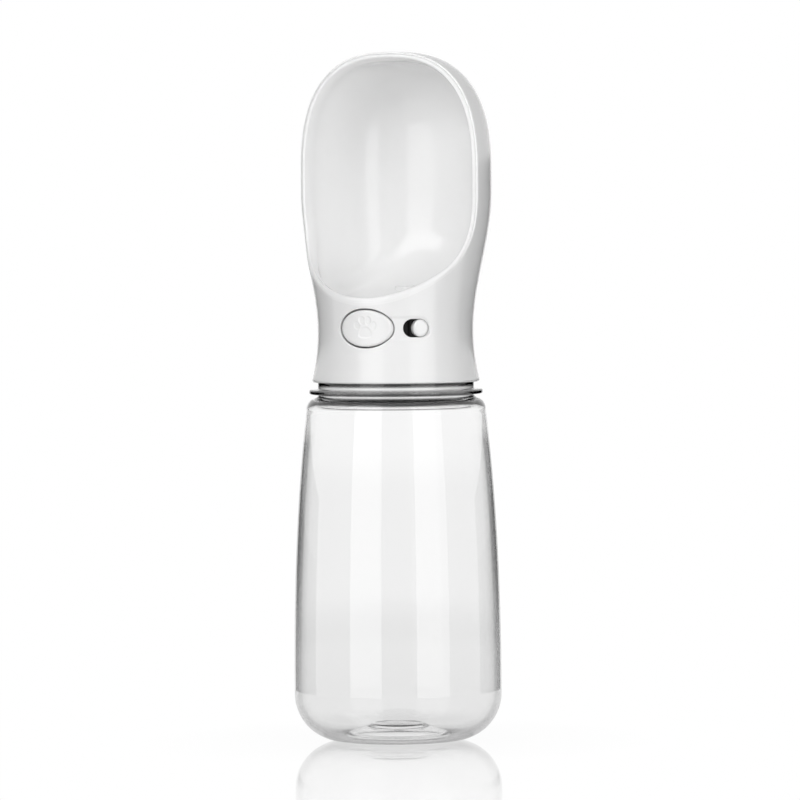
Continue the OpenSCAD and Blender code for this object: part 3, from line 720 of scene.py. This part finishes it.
def thread_rise(phi, z):
    """Height of the screw thread over the neck, tapering out at both ends."""
    turns = (z - (NECK_Z + THREAD_START)) / THREAD_LEAD - phi / (2 * math.pi)
    whole = np.round(turns)
    along = whole + phi / (2 * math.pi)
    off = np.abs(turns - whole) * THREAD_LEAD
    ends = smooth(along / THREAD_FADE + 0.5) * smooth((THREAD_TURNS - along) / THREAD_FADE + 0.5)
    return THREAD_DEPTH * smooth((THREAD_HALF - off) / THREAD_FLANK) * ends


def punt(radii, crown, sphere, ring):
    """Profile of the base's dome, from its crown's height, its sphere's radius and its ring mark's height."""
    marks = [ring * math.exp(-(((r - PUNT_RING_R) / PUNT_RING_W) ** 2)) for r in radii]
    return [(r, crown - sphere + math.sqrt(sphere**2 - r * r) + mark) for r, mark in zip(radii, marks)]


def shoulder(radius, r, rise, degrees):
    """Profile of the shoulder: a quarter of an ellipse from the body to the collar of a given radius."""
    return [(radius + r * math.cos(a), BOTTLE_H + rise * math.sin(a)) for a in np.radians(degrees)]


def bottle_outside(sphere):
    """Profile of the bottle's outside, from the base's dome to the neck's rim."""
    flange_top, round_r = FLANGE_Z + FLANGE_T, FLANGE_R - FLANGE_ROUND
    rim_r, rim_z = NECK_R - NECK_ROUND, RIM_Z - NECK_ROUND
    line = punt(PUNT_BELOW, PUNT_RISE, sphere, RING_BELOW)
    line += [(PUNT_R + out, z) for out, z in STAND_BELOW]
    line += corner_arc(BOTTLE_R - FOOT_R, FOOT_R, FOOT_R, -90, 0, FOOT_ROWS)
    line += [(body_radius(z), z) for z in np.linspace(FOOT_R, BOTTLE_H, WALL_ROWS)[1:]]
    line += shoulder(COLLAR_R, SHOULDER_R - COLLAR_R, SHOULDER_RISE, np.arange(9, 82, 9))
    line += [(COLLAR_R + out, FLANGE_Z + up) for out, up in UNDER_FLANGE]
    line += corner_arc(round_r, FLANGE_Z + FLANGE_ROUND, FLANGE_ROUND, -90, 0, 4)
    line += corner_arc(round_r, flange_top - FLANGE_ROUND, FLANGE_ROUND, 0, 90, 4)
    line += [(COLLAR_R + FLANGE_FILLET, flange_top), (COLLAR_R, flange_top + FLANGE_FILLET)]
    line += corner_arc(COLLAR_R - NECK_ROUND, NECK_Z - NECK_ROUND, NECK_ROUND, 0, 90, 4)
    line += [(NECK_R + NECK_FILLET, NECK_Z)]
    line += [(NECK_R, z) for z in np.arange(NECK_Z + NECK_FILLET, rim_z, THREAD_STEP)]
    return line + corner_arc(rim_r, rim_z, NECK_ROUND, 0, 90, 4)[1:]


def bottle_inside(sphere):
    """Profile of the bottle's inside, from the neck's rim to the base's dome."""
    neck_in, collar_in, ledge = NECK_R - NECK_WALL, COLLAR_R - NECK_WALL, NECK_Z - NECK_WALL
    wide = SHOULDER_R - BOTTLE_WALL - collar_in
    line = corner_arc(neck_in + NECK_ROUND, RIM_Z - NECK_ROUND, NECK_ROUND, 90, 180, 4)
    line += corner_arc(neck_in + LEDGE_ROUND, ledge + LEDGE_ROUND, LEDGE_ROUND, 180, 270, 4)
    line += corner_arc(collar_in - LEDGE_ROUND, ledge - LEDGE_ROUND, LEDGE_ROUND, 90, 0, 4)
    line += shoulder(collar_in, wide, SHOULDER_RISE - BOTTLE_WALL, np.arange(81, 8, -9))
    line += [(body_radius(z) - BOTTLE_WALL, z) for z in np.linspace(BOTTLE_H, FOOT_R, WALL_ROWS)[:-1]]
    line += corner_arc(BOTTLE_R - FOOT_R, FOOT_R, FOOT_R - BOTTLE_WALL, 0, -90, FOOT_ROWS)
    line += [(PUNT_R + out, z) for out, z in STAND_ABOVE]
    return line + punt(PUNT_ABOVE, PUNT_RISE + BOTTLE_WALL, sphere, RING_ABOVE)


def make_bottle():
    """The bottle: one turned form, with the thread raised on its neck."""
    sphere = (PUNT_R**2 + PUNT_RISE**2) / (2 * PUNT_RISE)
    form = lathe(bottle_outside(sphere) + bottle_inside(sphere + BOTTLE_WALL), BOTTLE_COLS)
    x, y, z = form.verts.T
    r, phi = np.hypot(x, y), np.arctan2(x, -y) % (2 * math.pi)
    on_neck = (np.abs(r - NECK_R) < 0.01) & (z > NECK_Z + NECK_FILLET / 2)
    form.verts[:, :2] *= np.where(on_neck, (r + thread_rise(phi, z)) / np.maximum(r, 1), 1)[:, None]
    new_piece(form, "bottle_body", "clear_plastic", "bottle")


# ===== Materials. Painted shade tones and the frost for a highlight are listed as (height in millimetres, value)
WHITE, GLASS_IOR, FLAT_XY = (1, 1, 1, 1), 1.49, (1, 1, 0)
MOTTLE_SCALE, GLOSS_SCALE, GRAIN_DEPTH = 22.0, 140.0, 0.05
GLASS_GLOSS_SCALE, GLASS_ROUGH = 60.0, (0.01, 0.04)
GLASS_WAVE_SCALE, GLASS_WAVES, GLASS_WAVE_DEPTH = 14.0, 0.25, 0.08
STEEL_SCALE, STEEL_LINES, STEEL_DEPTH, STEEL_ROUGH = 900.0, 0.15, 0.02, (0.2, 0.38)
STEEL_DARK, STEEL_LIGHT = (0.55, 0.56, 0.58, 1), (0.72, 0.73, 0.75, 1)

# Painted edge shade: how dark the clear wall is made from square on (0) to edge on (1), and how much of that
# shows at a height
EDGE_SHADE_TONES = [(0, 1.0), (0.35, 0.99), (0.55, 0.96), (0.68, 0.72), (0.78, 0.15), (1, 0.02)]
EDGE_SHADE_SHARES = [(0, 0.9), (18, 0.65), (45, 0.75), (75, 1), (112, 1), (121, 0.3), (131, 0), (132, 0.5)]
EDGE_SHADE_SHARES += [(RIM_Z, 0.5)]
# Painted shade of the wall nearer to the viewer and of the one behind it, darkest at the base
UPPER_WALL_SHADE = [(55, 0.93), (93, 0.93), (113, 0.96), (RIM_Z, 0.96)]
NEAR_WALL_SHADE = [(0, 0.5), (1.2, 0.66), (3, 0.92), (6, 0.98), (10, 1), (36, 1)] + UPPER_WALL_SHADE
FAR_WALL_SHADE = [(0, 0.76), (4, 0.73), (9, 0.78), (36, 0.8)] + UPPER_WALL_SHADE
# Painted shade and a painted highlight ring of the base's dome, by the share of its radius, and the height
# that it stays under
PUNT_SHADE_AND_HIGHLIGHT = [(0, 0.76), (0.49, 0.76), (0.55, 1), (0.86, 1), (0.97, 0.8), (1, 0.75)]
PUNT_TOP = 9.0
# Painted shade in dark rings on the outside over and under the flange, and the frosted white strip above it,
# which stands in for a highlight
RING_SHADE_TONES = [(0, 1), (128.1, 1), (129.0, 0.04), (131.0, 0.03), (131.3, 0.8), (132.0, 0.8), (132.2, 0.06)]
RING_SHADE_TONES += [(133.9, 0.08), (134.1, 1), (135.4, 1), (135.7, 0.02), (137.0, 0.02), (137.3, 1), (RIM_Z, 1)]
HIGHLIGHT_FROST = [(0, 0), (133.95, 0), (134.25, 0.8), (135.25, 0.8), (135.5, 0), (RIM_Z, 0)]
# Radii between which the painted ring shade sets in; below a height, it fades where the wall is seen edge on
RINGS_FROM_R, RINGS_FULL_R = 28.4, 29.2
RINGS_ALWAYS_Z = 131.3
RINGS_FADE = [(0, 1), (0.55, 1), (0.8, 0), (1, 0)]


class Graph:
    """A node tree built by calls; each value is a number, a colour or another node's socket."""

    def __init__(self, tree):
        self.tree = tree

    def add(self, kind, *values, operation=None, **named):
        """Adds a node and fills its inputs, in order or by name."""
        node = self.tree.nodes.new("ShaderNode" + kind)
        if operation:
            node.operation = operation
        for value, socket in zip(values, node.inputs):
            self.feed(value, socket)
        return self.fill(node, **named)

    def fill(self, node, **named):
        """Fills those of a node's inputs that are named."""
        for name, value in named.items():
            self.feed(value, node.inputs[name.replace("_", " ")])
        return node

    def finish(self, **named):
        """Fills those inputs of the Principled shader that are named."""
        self.fill(self.tree.nodes["Principled BSDF"], **named)

    def feed(self, value, socket):
        """Links a socket to another, or sets it."""
        if isinstance(value, bpy.types.NodeSocket):
            self.tree.links.new(value, socket)
        else:
            socket.default_value = value

    def math(self, operation, a, b):
        return self.add("Math", a, b, operation=operation).outputs[0]

    def times(self, a, b):
        return self.math("MULTIPLY", a, b)

    def most(self, a, b):
        return self.math("MAXIMUM", a, b)

    def flip(self, value):
        """1 less a value."""
        return self.math("SUBTRACT", 1.0, value)

    def remap(self, value, low, high, start=0.0, end=1.0):
        """Maps the range from start to end onto low to high, held at both ends."""
        ends = {"From_Min": start, "From_Max": end, "To_Min": low, "To_Max": high}
        return self.add("MapRange", Value=value, **ends).outputs["Result"]

    def mix(self, factor, a, b, blend="MIX"):
        """Mixes two colours."""
        node = self.add("Mix")
        node.data_type, node.blend_type = "RGBA", blend
        return self.fill(node, Factor=factor, A=a, B=b).outputs["Result"]

    def mix_shaders(self, factor, a, b):
        return self.add("MixShader", factor, a, b).outputs[0]

    def ramp(self, value, tones, end=1.0):
        """A grey for each value, smoothly between (value, grey) pairs from 0 to end."""
        node = self.add("ValToRGB", Fac=value)
        node.color_ramp.interpolation = "EASE"
        stops = node.color_ramp.elements
        for place, _ in tones[1:-1]:
            stops.new(place / end)
        for stop, (place, tone) in zip(stops, tones):
            stop.position, stop.color = place / end, (tone, tone, tone, 1)
        return node.outputs["Color"]

    def place(self):
        """A point's place in the object's own space, in metres."""
        return self.add("TexCoord").outputs["Object"]

    def length(self, vector):
        return self.add("VectorMath", vector, operation="LENGTH").outputs["Value"]

    def noise(self, scale, detail=3.0):
        """Noise in the object's own space, per metre."""
        return self.add("TexNoise", Scale=scale, Detail=detail, Vector=self.place()).outputs["Fac"]

    def bump(self, height, strength, depth_mm):
        """Normals of a surface that a height from 0 to 1 raises."""
        return self.add("Bump", Strength=strength, Distance=depth_mm * MM, Height=height).outputs["Normal"]


def new_material(name):
    """A new material and its graph."""
    material = bpy.data.materials.new(name)
    material.use_nodes = True
    return material, Graph(material.node_tree)


def moulded(name, dark, light, rough, grain, strength, level=0.5):
    """Moulded plastic or rubber: a slight mottle in colour and gloss, and a fine surface grain."""
    material, graph = new_material(name)
    graph.finish(
        Specular_IOR_Level=level,
        Base_Color=graph.mix(graph.noise(MOTTLE_SCALE), (*dark, 1), (*light, 1)),
        Roughness=graph.remap(graph.noise(GLOSS_SCALE), *rough),
        Normal=graph.bump(graph.noise(grain), strength, GRAIN_DEPTH),
    )
    return material


def clear_plastic():
    """Clear moulded plastic: glassy, with painted shade where a wall is seen edge on and towards the base,
    painted dark rings and a frosted strip for a highlight at the neck, and a painted highlight in the base's
    dome.
    """
    material, graph = new_material("clear_plastic")
    place = graph.place()
    height = graph.add("SeparateXYZ", place).outputs["Z"]
    share = graph.math("DIVIDE", height, RIM_Z * MM)
    radius = graph.length(graph.add("VectorMath", place, FLAT_XY, operation="MULTIPLY").outputs["Vector"])
    facing = graph.add("LayerWeight", Blend=0.5).outputs["Facing"]
    behind = graph.add("NewGeometry").outputs["Backfacing"]

    # Distance from the middle of the foot's curve tells the outside of the wall from its inside
    out = graph.most(graph.math("SUBTRACT", radius, (BOTTLE_R - FOOT_R) * MM), 0.0)
    down = graph.most(graph.math("SUBTRACT", FOOT_R * MM, height), 0.0)
    square = graph.math("ADD", graph.times(out, out), graph.times(down, down))
    skin = graph.math("GREATER_THAN", square, ((FOOT_R - BOTTLE_WALL / 2) * MM) ** 2)

    # A far wall is one whose outside light leaves, or whose inside it enters
    leaving, entering = graph.times(skin, behind), graph.times(graph.flip(skin), graph.flip(behind))
    # Painted shade of the near and the far wall, darkest at the base
    near, far = (graph.ramp(share, tones, RIM_Z) for tones in (NEAR_WALL_SHADE, FAR_WALL_SHADE))
    wall = graph.mix(graph.math("ADD", leaving, entering), near, far)

    # The dome in the base has its own painted shade and painted highlight
    low_down = graph.math("LESS_THAN", height, PUNT_TOP * MM)
    in_punt = graph.times(graph.math("LESS_THAN", radius, PUNT_R * MM), low_down)
    base = graph.mix(in_punt, wall, graph.ramp(graph.math("DIVIDE", radius, PUNT_R * MM), PUNT_SHADE_AND_HIGHLIGHT))

    # Painted shade: the outside of the flange and collar is darkened ring by ring where light enters it
    outer = graph.remap(radius, 0.0, 1.0, RINGS_FROM_R * MM, RINGS_FULL_R * MM)
    outer = graph.times(outer, graph.flip(behind))
    above = graph.math("GREATER_THAN", height, RINGS_ALWAYS_Z * MM)
    ring_shade_share = graph.times(outer, graph.most(graph.ramp(facing, RINGS_FADE), above))
    rings = graph.mix(ring_shade_share, WHITE, graph.ramp(share, RING_SHADE_TONES, RIM_Z))
    # A frosted white strip on the neck stands in for a highlight
    highlight_frost = graph.times(outer, graph.ramp(share, HIGHLIGHT_FROST, RIM_Z))

    ring_shaded = graph.mix(1.0, base, rings, "MULTIPLY")
    # Painted shade where the wall is seen edge on
    edge_shade_share = graph.times(graph.ramp(share, EDGE_SHADE_SHARES, RIM_Z), graph.flip(in_punt))
    graph.finish(Transmission_Weight=1.0, IOR=GLASS_IOR)
    graph.finish(
        Base_Color=graph.mix(edge_shade_share, ring_shaded, graph.ramp(facing, EDGE_SHADE_TONES), "MULTIPLY"),
        Transmission_Weight=graph.flip(highlight_frost),
        Roughness=graph.remap(graph.noise(GLASS_GLOSS_SCALE), *GLASS_ROUGH),
        Normal=graph.bump(graph.noise(GLASS_WAVE_SCALE, 1.0), GLASS_WAVES, GLASS_WAVE_DEPTH),
    )
    return material


def steel():
    """Stainless steel with fine drawn lines."""
    material, graph = new_material("steel")
    lines = graph.noise(STEEL_SCALE, 2.0)
    graph.finish(
        Metallic=1.0,
        Base_Color=graph.mix(lines, STEEL_DARK, STEEL_LIGHT),
        Roughness=graph.remap(lines, *STEEL_ROUGH),
        Normal=graph.bump(lines, STEEL_LINES, STEEL_DEPTH),
    )
    return material


def grey(level):
    return (level, level, level)


# Darker and lighter colour, range of roughness, scale and strength of the grain, and level of the gloss
MOULDED = {
    "white_plastic": (grey(0.80), grey(0.83), (0.11, 0.15), 1400.0, 0.05),
    # The dish's plastic is the white plastic made lighter: painted light for the light that falls into the
    # dish
    "dish_plastic_painted_light": (grey(0.84), grey(0.87), (0.11, 0.15), 1400.0, 0.05),
    "inner_plastic": ((0.76, 0.76, 0.77), (0.81, 0.81, 0.82), (0.40, 0.52), 1800.0, 0.15),
    "black_plastic": (grey(0.008), grey(0.014), (0.50, 0.62), 2200.0, 0.15, 0.2),
    "silicone": ((0.42, 0.43, 0.45), (0.50, 0.51, 0.53), (0.45, 0.6), 1200.0, 0.12),
}
FINISHES = {"steel": steel(), "clear_plastic": clear_plastic()}
FINISHES.update((name, moulded(name, *look)) for name, look in MOULDED.items())

for part in frame["record"]["subparts"]:
    node = frame["nodes"][part["node"]]
    node.data.materials.clear()
    node.data.materials.append(FINISHES[part["material_slot"]])
    shade_smooth(node, CAD_SHARP_TURN)

make_head_shell()
make_dish()
make_button()
make_knob()
make_bottle()


# ===== Camera, in metres
CAMERA_TURN = math.radians(23)
CAMERA_AWAY, CAMERA_HEIGHT = 2.3, 0.202
AIM_HEIGHT, AIM_RIGHT = 0.1298, 0.0015
LENS, SENSOR, ROLL = 271.65, 36, math.radians(-0.424)
CLIP_START, CLIP_END = 0.1, 50


def make_camera():
    """A long lens a little above the object, turned to the side that the lock is on."""
    right = Vector((math.cos(CAMERA_TURN), math.sin(CAMERA_TURN), 0))
    towards = Vector((math.sin(CAMERA_TURN), -math.cos(CAMERA_TURN), 0))
    place = towards * CAMERA_AWAY + right * AIM_RIGHT + Vector((0, 0, CAMERA_HEIGHT))
    aim = right * AIM_RIGHT + Vector((0, 0, AIM_HEIGHT))
    data = bpy.data.cameras.new("camera")
    data.lens, data.sensor_width = LENS, SENSOR
    data.clip_start, data.clip_end = CLIP_START, CLIP_END
    camera = new_object(data)
    look = (aim - place).to_track_quat("-Z", "Y").to_matrix().to_4x4()
    camera.matrix_world = Matrix.Translation(place) @ look @ Matrix.Rotation(ROLL, 4, "Z")
    bpy.context.scene.camera = camera


make_camera()


# ===== Studio, in metres: white surroundings, a pale floor, cards and softboxes for gloss, and soft fills
AMBIENT = 0.04
FLOOR_Z, FLOOR_RINGS, FLOOR_STEP = -0.0001, (0.26, 7.0), 3.75
FLOOR_COLOUR, FLOOR_ROUGH = (0.9, 0.9, 0.9, 1), 0.03
# The floor's mirror for the camera, the distances between which it fades, and its mirror for gloss
FLOOR_MIRROR, MIRROR_FROM, MIRROR_TO, GLOSS_MIRROR = 0.5, 0.04, 0.5, 0.3
# Share of plain white under the object and away from it, and the distances between which it grows
WHITE_NEAR, WHITE_FAR, WHITE_FROM, WHITE_TO = 0.93, 1.0, 0.045, 0.10
FILL_AIM = 0.15

# Upright cards seen only in gloss: degrees from the camera's side, distance, width, foot, top, glow
CARDS = {
    "flag_left": (-132, 6.5, 6.9, -4.0, 0.38, 0.0),
    "flag_right": (132, 6.5, 6.9, -4.0, 0.38, 0.0),
    "card_left": (-35, 1.5, 0.8, 0.4, 0.94, 2.9),
    "card_right": (34, 1.5, 0.7, 0.4, 0.92, 2.5),
    "card_high": (-47, 1.5, 1.3, 0.94, 2.6, 3.4),
}
# Area lamps: degrees from the camera's side, distance, height, size and watts
SOFTBOXES = {
    "softbox_left": (-36, 1.6, 0.55, (1.05, 2.2), 11),
    "softbox_right": (40, 1.6, 0.55, (1.1, 2.2), 11.6),
}
FILLS = {
    "left_fill": (-40, 1.8, 1.1, (0.8, 0.8), 8.2),
    "front_fill": (0, 2.0, 0.4, (0.8, 0.8), 4.3),
    "right_fill": (40, 2.0, 0.3, (0.8, 0.8), 6.0),
    "top_fill": (0, 1.0, 1.9, (0.8, 0.8), 5.0),
    "back_fill": (180, 1.8, 1.0, (1.4, 1.4), 18),
}


def ray_kinds(graph):
    """The light path's outputs, and 1 for the rays that show the set or 0 for those that only light it."""
    rays = graph.add("LightPath").outputs
    seen = graph.most(rays["Is Camera Ray"], rays["Is Transmission Ray"])
    return rays, graph.most(seen, rays["Is Glossy Ray"])


def make_world():
    """White surroundings that show at full strength and light the object only faintly."""
    world = bpy.data.worlds.new("studio")
    bpy.context.scene.world = world
    world.use_nodes = True
    graph = Graph(world.node_tree)
    strength = graph.remap(ray_kinds(graph)[1], AMBIENT, 1.0)
    graph.fill(graph.tree.nodes["Background"], Color=WHITE, Strength=strength)


def floor_material():
    """A pale floor that shows white, with the object's soft shadow and a reflection that fades out."""
    material, graph = new_material("floor")
    graph.tree.nodes.clear()
    plain = graph.add("BsdfDiffuse", Color=FLOOR_COLOUR).outputs[0]
    glow = graph.add("Emission").outputs[0]
    mirror = graph.add("BsdfGlossy", Roughness=FLOOR_ROUGH, Color=WHITE).outputs[0]
    rays, seen = ray_kinds(graph)
    away = graph.length(graph.place())
    fade = graph.remap(away, FLOOR_MIRROR, 0.0, MIRROR_FROM, MIRROR_TO)
    to_camera = graph.times(fade, rays["Is Camera Ray"])
    to_gloss = graph.times(rays["Is Glossy Ray"], GLOSS_MIRROR)
    lit = graph.mix_shaders(graph.remap(away, WHITE_NEAR, WHITE_FAR, WHITE_FROM, WHITE_TO), plain, glow)
    shown = graph.mix_shaders(graph.most(to_camera, to_gloss), lit, mirror)
    graph.add("OutputMaterial", Surface=graph.mix_shaders(seen, plain, shown))
    return material


def make_floor():
    """The floor, in two rings: only the inner one is mirrored by the object."""
    material, form = floor_material(), Form()
    angles = np.radians(np.arange(0, 360, FLOOR_STEP))
    inner, outer = ([(r * math.cos(a), r * math.sin(a), FLOOR_Z) for a in angles] for r in FLOOR_RINGS)
    near = bpy.data.meshes.new("floor")
    near.from_pydata(inner, [], [tuple(range(len(inner)))])
    form.join([form.add(inner), form.add(outer)])
    far = bpy.data.meshes.new("floor_far")
    far.from_pydata(form.verts, [], form.faces)
    for mesh, glossy in ((near, True), (far, False)):
        floor = new_object(mesh)
        floor.visible_glossy = glossy
        floor.data.materials.append(material)


def round_the_set(turn_deg, away, height):
    """A place at an angle from the camera's side."""
    a = CAMERA_TURN + math.radians(turn_deg)
    return Vector((math.sin(a) * away, -math.cos(a) * away, height))


def make_lamp(name, turn_deg, away, height, size, power, glossy):
    """An area lamp, upright where it shows in gloss, else aimed at the object."""
    data = bpy.data.lights.new(name, "AREA")
    data.shape = "RECTANGLE"
    data.size, data.size_y = size
    data.energy = power
    lamp = new_object(data)
    lamp.location = round_the_set(turn_deg, away, height)
    aim = Vector((0, 0, height if glossy else FILL_AIM))
    lamp.rotation_euler = (aim - lamp.location).to_track_quat("-Z", "Y").to_euler()
    lamp.visible_glossy = glossy
    lamp.visible_transmission = False
    lamp.visible_camera = False


def make_card(name, turn_deg, away, width, low, high, glow):
    """An upright card: dark ones draw dark edges on the object, bright ones highlights."""
    w = width / 2
    mesh = bpy.data.meshes.new(name)
    mesh.from_pydata([(-w, 0, low), (w, 0, low), (w, 0, high), (-w, 0, high)], [], [(0, 1, 2, 3)])
    card = new_object(mesh)
    card.location = round_the_set(turn_deg, away, 0)
    card.rotation_euler = (0, 0, CAMERA_TURN + math.radians(turn_deg))
    for kind in ("camera", "diffuse", "transmission", "volume_scatter", "shadow"):
        setattr(card, "visible_" + kind, False)
    material, graph = new_material(name)
    graph.tree.nodes.clear()
    graph.add("OutputMaterial", Surface=graph.add("Emission", Color=WHITE, Strength=glow).outputs[0])
    mesh.materials.append(material)


make_world()
make_floor()
for name, card in CARDS.items():
    make_card(name, *card)
for lamps, glossy in ((SOFTBOXES, True), (FILLS, False)):
    for name, lamp in lamps.items():
        make_lamp(name, *lamp, glossy)

bpy.context.scene.view_settings.view_transform = "Standard"
